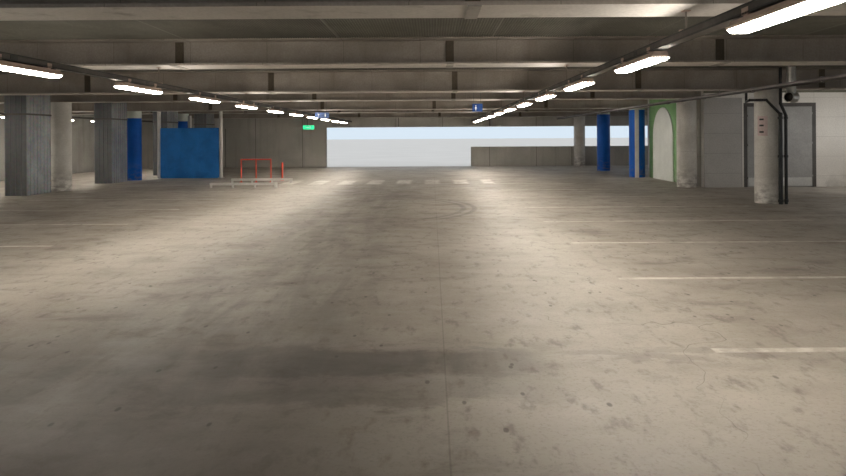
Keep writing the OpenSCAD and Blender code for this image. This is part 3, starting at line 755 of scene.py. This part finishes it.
class Shape:
    """Points and faces that are gathered into one mesh."""

    def __init__(self):
        self.points = []
        self.faces = []

    def add(self, points, faces):
        start = len(self.points)
        self.points.extend(points)
        self.faces.extend([tuple(start + k for k in face) for face in faces])

    def box(self, low, high):
        """A box between two corners, with its edges along the axes."""
        corners = [(x, y, z) for x in (low[0], high[0]) for y in (low[1], high[1])
                   for z in (low[2], high[2])]
        self.add(corners, [(0, 1, 3, 2), (4, 6, 7, 5), (0, 4, 5, 1), (2, 3, 7, 6),
                           (0, 2, 6, 4), (1, 5, 7, 3)])

    def prism(self, outline, start, end, axis):
        """An outline swept from start to end along an axis; its points are the other two axes."""
        n = len(outline)
        sides = [(k, (k + 1) % n, n + (k + 1) % n, n + k) for k in range(n)]
        ends = [tuple(range(n))[::-1], tuple(range(n, 2 * n))]
        points = [lifted(flat, along, axis) for along in (start, end) for flat in outline]
        self.add(points, sides + ends)

    def lathe(self, centre, profile, axis, sides=28):
        """A profile of (distance along the axis, radius) turned about the axis through centre."""
        points = [lifted(flat, along, axis) for along, radius in profile
                  for flat in circle(centre, radius, sides)]
        faces = []
        for ring_start in range(0, (len(profile) - 1) * sides, sides):
            for k in range(sides):
                a = ring_start + k
                b = ring_start + (k + 1) % sides
                faces.append((a, b, b + sides, a + sides))
        faces.append(tuple(range(sides))[::-1])
        faces.append(tuple(range(len(points) - sides, len(points))))
        self.add(points, faces)

    def make(self, name, paint, body="building", bevel=0.0, smooth=False, replaces=()):
        """The object, with its finish and the body that it rides on."""
        mesh = bpy.data.meshes.new(name)
        mesh.from_pydata(self.points, [], self.faces)
        mesh.validate()
        mesh.materials.append(PAINTS[paint])
        face_outward(mesh)
        piece = new_object(name, mesh)
        if bevel:
            modifier = piece.modifiers.new("bevel", "BEVEL")
            modifier.width = bevel
            modifier.segments = 2
            modifier.limit_method = "ANGLE"
        if smooth:
            mesh.shade_smooth()
            mesh.set_sharp_from_angle(angle=math.radians(35))
        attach(piece, body)
        if replaces:
            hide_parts(*replaces)


def face_outward(mesh):
    """Turns every closed shell's faces outward."""
    work = bmesh.new()
    work.from_mesh(mesh)
    bmesh.ops.recalc_face_normals(work, faces=work.faces)
    work.to_mesh(mesh)
    work.free()


def cuts(low, high, count):
    """The places that cut the way from low to high into that many even lengths."""
    return [low + k * (high - low) / count for k in range(count + 1)]


def loose_boxes(node):
    """The lowest and highest corner of each separate solid in a CAD node."""
    work = bmesh.new()
    work.from_mesh(frame["nodes"][node].data)
    bmesh.ops.remove_doubles(work, verts=work.verts, dist=0.0002)
    left = set(work.verts)
    found = []
    while left:
        group = [left.pop()]
        for vert in group:
            beside = {edge.other_vert(vert) for edge in vert.link_edges} & left
            left -= beside
            group.extend(beside)
        low, high = [Vector([pick(vert.co[axis] for vert in group) for axis in range(3)])
                     for pick in (min, max)]
        found.append((low, high))
    work.free()
    return sorted(found, key=lambda pair: tuple(round(c, 3) for c in (*pair[0], *pair[1])))


# One rib of the decking, in shares of its pitch and depth
RIB_POINTS = [(0.0, 0.0), (0.4, 0.0), (0.5, 1.0), (0.9, 1.0)]


def ribbed_decking(deck):
    """Ribbed sheets under a deck, between the beams' top flanges and the walls."""
    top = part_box(deck)[0].z - 0.001
    profile = []
    for k in range(int(2 * INSIDE_X / RIB_PITCH)):
        for share, depth in RIB_POINTS:
            profile.append((-INSIDE_X + (k + share) * RIB_PITCH, top - depth * RIB_DEPTH))
    core_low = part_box("core_front_left")[0]
    core_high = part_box("core_back_wall")[1]
    shape = Shape()
    for line, next_line in zip(LINES_Y, LINES_Y[1:]):
        low = line + FLANGE_HALF
        high = next_line - FLANGE_HALF
        meets = high > core_low.y and low < core_high.y
        used = [p for p in profile if not (meets and p[0] > core_low.x - 0.01)]
        n = len(used)
        shape.add([(x, y, z) for y in (low, high) for x, z in used],
                  [(j, j + 1, n + j + 1, n + j) for j in range(n - 1)])
    shape.make(deck + "_ribs", "rib_concrete")


BOLTS_HIGH = 4
BOLT_IN = 0.035
BOLT_OUT = 0.014
BOLT_R = 0.015


def bolt_rows():
    """Hexagon bolt heads on the web plates of every splice."""
    shape = Shape()
    for low, high in loose_boxes("web_plates"):
        line = min(LINES_Y, key=lambda y: abs(y - low.y))
        start, end = (low.y - BOLT_OUT, low.y) if low.y < line else (high.y, high.y + BOLT_OUT)
        for x in (low.x + BOLT_IN, high.x - BOLT_IN):
            for k in range(BOLTS_HIGH):
                z = low.z + (k + 0.5) * (high.z - low.z) / BOLTS_HIGH
                shape.prism(circle((x, z), BOLT_R, 6), start, end, 1)
    shape.make("splice_bolts", "dark_steel")


LIP_OUT = 0.004
LIP_LOW = 0.014
LIP_HIGH = 0.012
TRUNK_LONG = 3.0
COUPLING_HALF = 0.06
COUPLING_OUT = 0.003
CLIP_IN = 0.15
CLIP_LONG = 0.09
CLIP_UP = 0.045
# Half width, half length and thickness of the plates at the top and foot of a hanging rod
ROD_TOP = (0.03, 0.03, 0.01)
ROD_FOOT = (0.056, 0.02, 0.012)


def rail_details():
    """Lips and couplings along the trunking, its clips at the lamps and the clamps of its rods."""
    lips = Shape()
    clips = Shape()
    lamps = loose_boxes("lamps")
    for low, high in loose_boxes("lamp_rails"):
        for x in (low.x, high.x):
            lips.box((x - LIP_OUT, low.y, low.z), (x + LIP_OUT, high.y, low.z + LIP_LOW))
            lips.box((x - LIP_OUT, low.y, high.z - LIP_HIGH), (x + LIP_OUT, high.y, high.z))
        for y in cuts(low.y, high.y, int((high.y - low.y) / TRUNK_LONG))[1:-1]:
            lips.box((low.x - COUPLING_OUT, y - COUPLING_HALF, low.z + 0.016),
                     (high.x + COUPLING_OUT, y + COUPLING_HALF, high.z - 0.014))
        under = [pair for pair in lamps if 0 < low.z - pair[1].z < 0.3
                 and low.x > pair[0].x and high.x < pair[1].x]
        for lamp_low, lamp_high in under:
            for y in (lamp_low.y + CLIP_IN, lamp_high.y - CLIP_IN - CLIP_LONG):
                clips.box((low.x - LIP_OUT, y, low.z - LIP_OUT),
                          (high.x + LIP_OUT, y + CLIP_LONG, low.z + CLIP_UP))
    for low, high in loose_boxes("rail_hangers"):
        x = (low.x + high.x) / 2
        y = (low.y + high.y) / 2
        for (half_x, half_y, thick), z in ((ROD_TOP, high.z - ROD_TOP[2]), (ROD_FOOT, low.z)):
            clips.box((x - half_x, y - half_y, z), (x + half_x, y + half_y, z + thick))
    lips.make("rail_lips", "sealant")
    clips.make("rail_clips", "lamp_body", bevel=0.0015)


# Half widths and height of the lamps' end plates, and their reach out of and into the body
LAMP_END_LOW = 0.078
LAMP_END_HIGH = 0.062
LAMP_END_H = 0.046
LAMP_END_OUT = 0.008
LAMP_END_IN = 0.012


def lamp_ends():
    """Moulded end plates on the bodies of the lamps."""
    shape = Shape()
    for low, high in loose_boxes("lamps"):
        x = (low.x + high.x) / 2
        z = high.z
        outline = [(x - LAMP_END_LOW, z), (x + LAMP_END_LOW, z),
                   (x + LAMP_END_HIGH, z + LAMP_END_H), (x - LAMP_END_HIGH, z + LAMP_END_H)]
        shape.prism(outline, low.y - LAMP_END_OUT, low.y + LAMP_END_IN, 1)
        shape.prism(outline, high.y - LAMP_END_IN, high.y + LAMP_END_OUT, 1)
    shape.make("lamp_ends", "lamp_body", bevel=0.004)


SEAM_W = 0.03
SEAM_OUT = 0.012
SEAM_PITCH = 0.15
CASING_JOINT = 2.28
CASING_JOINT_OUT = 0.025
CASING_JOINT_H = 0.05


def casing_details():
    """Standing seams on the sheet casings and a dark flange where two lengths meet."""
    seams = Shape()
    joints = Shape()
    for low, high in loose_boxes("duct_casings"):
        joint = FLOOR + CASING_JOINT
        out = CASING_JOINT_OUT
        joints.box((low.x - out, low.y - out, joint),
                   (high.x + out, high.y + out, joint + CASING_JOINT_H))
        along = cuts(low.y, high.y, int((high.y - low.y) / SEAM_PITCH))
        across = cuts(low.x, high.x, int((high.x - low.x) / SEAM_PITCH))[1:-1]
        sides = [(x, y, SEAM_OUT, SEAM_W / 2) for y in along for x in (low.x, high.x)]
        front = [(x, low.y, SEAM_W / 2, SEAM_OUT) for x in across]
        for x, y, half_x, half_y in sides + front:
            seams.prism([(x - half_x, y), (x, y - half_y), (x + half_x, y), (x, y + half_y)],
                        low.z, high.z, 2)
    seams.make("casing_seams", "sheet_casing")
    joints.make("casing_joints", "rail_paint", bevel=0.004)


PRECAST = ("near_parapets", "far_parapets", "right_parapets", "far_wall_ground", "core_outer_wall")
PANEL_LONG = 5.05
PANEL_JOINT = 0.03
JOINT_DEEP = 0.02


def panel_spans(low, high, longest):
    """Starts and ends of panels from low to high, no longer than about the longest."""
    ends = cuts(low, high, max(1, round((high - low) / longest)))
    half = PANEL_JOINT / 2
    return [(a if a == low else a + half, b if b == ends[-1] else b - half)
            for a, b in zip(ends, ends[1:])]


def panelled(node):
    """Precast panels with chamfered edges and sealed joints, in the place of a plain wall."""
    panels = Shape()
    seals = Shape()
    for low, high in loose_boxes(node):
        long_axis = 0 if high.x - low.x > high.y - low.y else 1
        spans = panel_spans(low[long_axis], high[long_axis], PANEL_LONG)
        for near, far in spans:
            for foot, top in panel_spans(low.z, high.z, STOREY):
                start = Vector((low.x, low.y, foot))
                end = Vector((high.x, high.y, top))
                start[long_axis] = near
                end[long_axis] = far
                panels.box(start, end)
        if len(spans) > 1:
            seals.box([c + JOINT_DEEP for c in low], [c - JOINT_DEEP for c in high])
    panels.make(node + "_panels", "precast_concrete", bevel=0.014, replaces=(node,))
    if seals.points:
        seals.make(node + "_seals", "sealant")


def ring(shape, centre, along, axis, inner, outer, width):
    """A collar round a pipe."""
    chamfer = min(0.004, width / 4)
    low = along - width / 2
    high = along + width / 2
    shape.lathe(centre, [(low, inner), (low, outer - chamfer), (low + chamfer, outer),
                         (high - chamfer, outer), (high, outer - chamfer), (high, inner)], axis)


SPRINKLER_R = 0.045
FIRST_COUPLING = 1.1
# Place and radius of each rainwater pipe, and the heights of its clamps
DRAINS = ((9.78, LINES_Y[3] - 0.37, 0.045), (9.92, LINES_Y[3] - 0.34, 0.035))
CLAMP_HEIGHTS = (0.08, 1.1, 1.98)


def pipe_details():
    """Couplings and clamps on the pipes."""
    couplings = Shape()
    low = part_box("sprinkler_pipe")[0]
    centre = (low.x + SPRINKLER_R, low.z + SPRINKLER_R)
    for k in range(BAYS * 2):
        y = low.y + FIRST_COUPLING + k * BAY / 2
        ring(couplings, centre, y, 1, SPRINKLER_R - 0.001, SPRINKLER_R + 0.013, 0.07)
    for y in LINES_Y:
        ring(couplings, centre, y, 1, SPRINKLER_R - 0.001, SPRINKLER_R + 0.005, 0.03)
    couplings.make("sprinkler_couplings", "pipe_paint", smooth=True)
    clamps = Shape()
    for x, y, radius in DRAINS:
        for height in CLAMP_HEIGHTS:
            ring(clamps, (x, y), FLOOR + height, 2, radius - 0.001, radius + 0.012, 0.06)
    clamps.make("drain_collars", "black_pipe", smooth=True)


def arc_plate(shape, centre, radius, angles, low, high, thick):
    """A curved plate on a round column, between two angles in degrees from +X."""
    turns = [math.radians(angle) for angle in cuts(*angles, 12)]
    outline = arc(centre, radius + thick, turns) + arc(centre, radius - 0.002, turns[::-1])
    shape.prism(outline, FLOOR + low, FLOOR + high, 2)


PLATE_ANGLES = (197, 242)
PLATE_LOW = 1.57
PLATE_HIGH = 2.03
KNOB_ANGLES = (208, 226)
KNOB_HEIGHTS = (1.66, 1.81, 1.95)
KNOB_HALF = 0.02
# Left and right sides of the white ducts before a right column and beside a left one
RIGHT_DUCT_X = (9.51, 9.65)
LEFT_DUCT_X = (-9.4, -9.27)


def column_details():
    """The plate with three dark knobs on a right column, and the white ducts of two far columns."""
    plate = Shape()
    centre = (COLUMN_X, LINES_Y[3])
    arc_plate(plate, centre, COLUMN_R, PLATE_ANGLES, PLATE_LOW, PLATE_HIGH, 0.004)
    plate.make("column_plate", "pink_plate")
    knobs = Shape()
    for height in KNOB_HEIGHTS:
        arc_plate(knobs, centre, COLUMN_R + 0.003, KNOB_ANGLES, height - KNOB_HALF,
                  height + KNOB_HALF, 0.012)
    knobs.make("column_knobs", "sealant")
    ducts = Shape()
    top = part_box("columns_blue")[1].z - 0.09
    before = LINES_Y[5] - COLUMN_R
    ducts.box((RIGHT_DUCT_X[0], before - 0.045, FLOOR), (RIGHT_DUCT_X[1], before + 0.01, top))
    ducts.box((LEFT_DUCT_X[0], LINES_Y[6] - 0.07, FLOOR), (LEFT_DUCT_X[1], LINES_Y[6] + 0.07, top))
    ducts.make("column_ducts", "white_post", bevel=0.006)


BATTEN_T = 0.012
BATTEN_W = 0.05
BATTEN_IN = 0.02
UPRIGHTS = 4
FOOT_HALF = 0.11
FOOT_BOLT = 0.08


def screen_frame():
    """Battens on both faces of the blue screen and plates under its posts."""
    low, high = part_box("screen_wall")
    shape = Shape()
    for y in (low.y - BATTEN_T, high.y):
        for z in (low.z + BATTEN_IN, (low.z + high.z) / 2, high.z - BATTEN_IN - BATTEN_W):
            shape.box((low.x, y, z), (high.x, y + BATTEN_T, z + BATTEN_W))
        for x in cuts(low.x, high.x - BATTEN_W, UPRIGHTS - 1):
            shape.box((x, y, low.z + BATTEN_IN), (x + BATTEN_W, y + BATTEN_T, high.z - BATTEN_IN))
    shape.make("screen_battens", "blue_screen", bevel=0.003)
    feet = Shape()
    y = (low.y + high.y) / 2
    for x in (low.x - 0.07, high.x + 0.07):
        feet.box((x - FOOT_HALF, y - FOOT_HALF, FLOOR), (x + FOOT_HALF, y + FOOT_HALF, FLOOR + 0.012))
        for side_x in (-FOOT_BOLT, FOOT_BOLT):
            for side_y in (-FOOT_BOLT, FOOT_BOLT):
                nut = circle((x + side_x, y + side_y), 0.012, 6)
                feet.prism(nut, FLOOR + 0.012, FLOOR + 0.028, 2)
    feet.make("screen_feet", "white_post")


LEG_IN = 0.028


def trolley_feet():
    """Round base plates under the legs of the red rail and the bollard."""
    shape = Shape()
    for low, high in loose_boxes("trolley_rail"):
        middle = (low + high) / 2
        is_rail = high.x - low.x > 0.5
        legs = [low.x + LEG_IN, middle.x, high.x - LEG_IN] if is_rail else [middle.x]
        for x in legs:
            ring(shape, (x, middle.y), FLOOR + 0.006, 2, 0.02, 0.07, 0.012)
    shape.make("trolley_feet", "red_tube")


LEAF_EDGE = 0.06
LEAF_SKIN = 0.004
PANEL_LOW = 0.34
PANEL_UNDER_TOP = 0.08
KICK_LOW = 0.02
KICK_HIGH = 0.28
KICK_WIDER = 0.04
# How far a leaf's box reaches past the leaf on the hinge side
HINGE_PAST = 0.012


def door_skins():
    """A raised panel and a kick plate on the outer face of each door leaf."""
    for side, past_left, past_right in (("left", HINGE_PAST, 0.0), ("right", 0.0, HINGE_PAST)):
        body = side + "_leaf"
        low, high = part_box("door_leaf_" + side)
        x0 = low.x + past_left + LEAF_EDGE
        x1 = high.x - past_right - LEAF_EDGE
        outside = CORE_FRONT - LEAF_SKIN
        inside = CORE_FRONT + 0.001
        panel = Shape()
        panel.box((x0, outside, low.z + PANEL_LOW), (x1, inside, high.z - PANEL_UNDER_TOP))
        panel.make(body + "_panel", "door_paint", body, bevel=0.003)
        kick = Shape()
        kick.box((x0 - KICK_WIDER, outside, low.z + KICK_LOW),
                 (x1 + KICK_WIDER, inside, low.z + KICK_HIGH))
        kick.make(body + "_kick_plate", "pale_metal", body, bevel=0.0015)


# Pictures on the signs, in halves of the sign's height from its middle
WALKER = [circle((0, 0.55), 0.17, 20),
          [(-0.16, 0.32), (0.16, 0.32), (0.34, -0.2), (0.16, -0.2), (0.16, -0.75), (-0.16, -0.75),
           (-0.16, -0.2), (-0.34, -0.2)]]
ARROW = [[(-0.2, 0.7), (-0.55, 0.2), (-0.3, 0.2), (-0.3, -0.7), (-0.1, -0.7), (-0.1, 0.2), (0.15, 0.2)]]
DOOR_ARROW = [[(0.6, 0.62), (1.15, 0.62), (1.15, -0.62), (0.6, -0.62)],
              [(-1.5, 0.14), (-0.4, 0.14), (-0.4, 0.5), (0.2, 0), (-0.4, -0.5), (-0.4, -0.14),
               (-1.5, -0.14)]]
PICTURE_SHARE = 0.9


def sign_picture(node, name, outlines, aside=0.0):
    """Flat shapes on both faces of a hanging sign."""
    low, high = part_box(node)
    half = SIGN_HEIGHTS[node] / 2
    x = (low.x + high.x) / 2 + aside
    z = low.z + half
    shape = Shape()
    for outline in outlines:
        placed = [(x + a * half * PICTURE_SHARE, z + b * half * PICTURE_SHARE) for a, b in outline]
        for start in (low.y - 0.003, high.y - 0.001):
            shape.prism(placed, start, start + 0.004, 1)
    shape.make(name, "sign_white")


STAGE_REACH = 600.0


def make_stage():
    """A plain pale floor round the building."""
    paint = Paint("stage_paint", roughness=0.8)
    paint.colour = paint.mix(paint.drift(0.2, detail=2), (0.66, 0.65, 0.63), (0.7, 0.69, 0.67))
    paint.finish()
    mesh = bpy.data.meshes.new("stage_floor")
    corners = [(STAGE_REACH * x, STAGE_REACH * y, 0) for x, y in ((-1, -1), (1, -1), (1, 1), (-1, 1))]
    mesh.from_pydata(corners, [], [(0, 1, 2, 3)])
    mesh.materials.append(PAINTS["stage_paint"])
    ground = new_object("stage_floor", mesh)
    ground.location.z = -0.002


# Light
SKY_SEEN = 1.0
SKY_LIGHT = 0.45
# Azimuth and strength of each broad light from above
SUNS = [(-40, 0.6), (80, 0.45), (200, 0.5)]
SUN_HEIGHT = 62
SIDE_LIGHT = 5.5
SIDE_WIDTH = 0.08
SIDE_TURN = 112
# Share of the side light that each row throws to its left and right
ROW_SHARES = [(-12.1, (0.5, 0.35)), (-2.55, (0.38, 0.8)), (3.95, (0.85, 0.12)), (12.1, (0.0, 0.2))]
# Lights before the core's front and beside its arch: the name, the place, where z is over the
# floor, the turn in degrees, the size and the power
CORE_LIGHTS = [("wall_light", (13.9, CORE_FRONT - 2.6, 1.9), (80, 0, 12), (1.6, 1.2), 24.0),
               ("arch_light", (7.2, 5.6, 2.0), (80, 0, -90), (1.6, 0.6), 19.0)]


def area_light(name, place, turn, size, power):
    """A soft rectangle of light that the camera doesn't see; it faces down before its turn."""
    data = bpy.data.lights.new(name, "AREA")
    data.shape = "RECTANGLE"
    data.size, data.size_y = size
    data.energy = power
    data.color = (1.0, 0.93, 0.84)
    light = new_object(name, data)
    light.rotation_euler = [math.radians(angle) for angle in turn]
    light.location = place
    light.visible_camera = False
    light.visible_glossy = False


def inside_light():
    """The share of each lamp row's light that goes sideways and up, and light on the core."""
    lamps = loose_boxes("lamps")
    for low, high in loose_boxes("lamp_rails"):
        middle = (low.x + high.x) / 2
        under = [pair for pair in lamps if low.x > pair[0].x and high.x < pair[1].x]
        start = min(pair[0].y for pair in under)
        end = max(pair[1].y for pair in under)
        shares = min(ROW_SHARES, key=lambda row: abs(row[0] - middle))[1]
        for side, share in zip((-1, 1), shares):
            place = (middle + side * 0.1, (start + end) / 2, low.z - 0.03)
            power = SIDE_LIGHT * share * (end - start)
            area_light("side_light", place, (0, -side * SIDE_TURN, 0), (SIDE_WIDTH, end - start), power)
    for floor in (FLOOR, DECK_TOP):
        for name, (x, y, height), turn, size, power in CORE_LIGHTS:
            area_light(name, (x, y, floor + height), turn, size, power)


def background(tree, colour, strength):
    node = tree.nodes.new("ShaderNodeBackground")
    node.inputs["Color"].default_value = (*colour, 1)
    node.inputs["Strength"].default_value = strength
    return node.outputs[0]


def make_sky():
    """Soft light from all round, with a brighter sky where it is seen."""
    world = bpy.data.worlds.new("studio")
    bpy.context.scene.world = world
    world.use_nodes = True
    tree = world.node_tree
    tree.nodes.clear()
    path = tree.nodes.new("ShaderNodeLightPath").outputs
    either = tree.nodes.new("ShaderNodeMath")
    either.operation = "MAXIMUM"
    blend = tree.nodes.new("ShaderNodeMixShader")
    output = tree.nodes.new("ShaderNodeOutputWorld")
    for start, end in ((path["Is Camera Ray"], either.inputs[0]),
                       (path["Is Glossy Ray"], either.inputs[1]),
                       (either.outputs[0], blend.inputs[0]),
                       (background(tree, (0.95, 0.97, 1.0), SKY_LIGHT), blend.inputs[1]),
                       (background(tree, (0.7, 0.815, 0.92), SKY_SEEN), blend.inputs[2]),
                       (blend.outputs[0], output.inputs[0])):
        tree.links.new(start, end)


def make_suns():
    """Three broad lights from above."""
    for azimuth, strength in SUNS:
        data = bpy.data.lights.new("soft_sun", "SUN")
        data.energy = strength
        data.angle = math.radians(40)
        sun = new_object("soft_sun", data)
        sun.rotation_euler = (math.radians(90 - SUN_HEIGHT), 0, math.radians(azimuth))


def main():
    make_camera()
    make_paints()
    paint_frame()
    for deck in ("deck_1", "roof_deck"):
        ribbed_decking(deck)
    bolt_rows()
    rail_details()
    lamp_ends()
    casing_details()
    for node in PRECAST:
        panelled(node)
    pipe_details()
    column_details()
    screen_frame()
    trolley_feet()
    door_skins()
    sign_picture("hanging_sign", "hanging_sign_walkers", WALKER, -0.045)
    sign_picture("left_sign", "left_sign_arrow", ARROW, -0.1)
    sign_picture("left_sign", "left_sign_walker", WALKER, 0.12)
    sign_picture("exit_sign", "exit_sign_arrow", DOOR_ARROW)
    make_stage()
    make_sky()
    make_suns()
    inside_light()
    view = bpy.context.scene.view_settings
    view.view_transform = "Standard"
    view.look = "None"
    view.exposure = 0.0
    bpy.context.view_layer.update()


main()
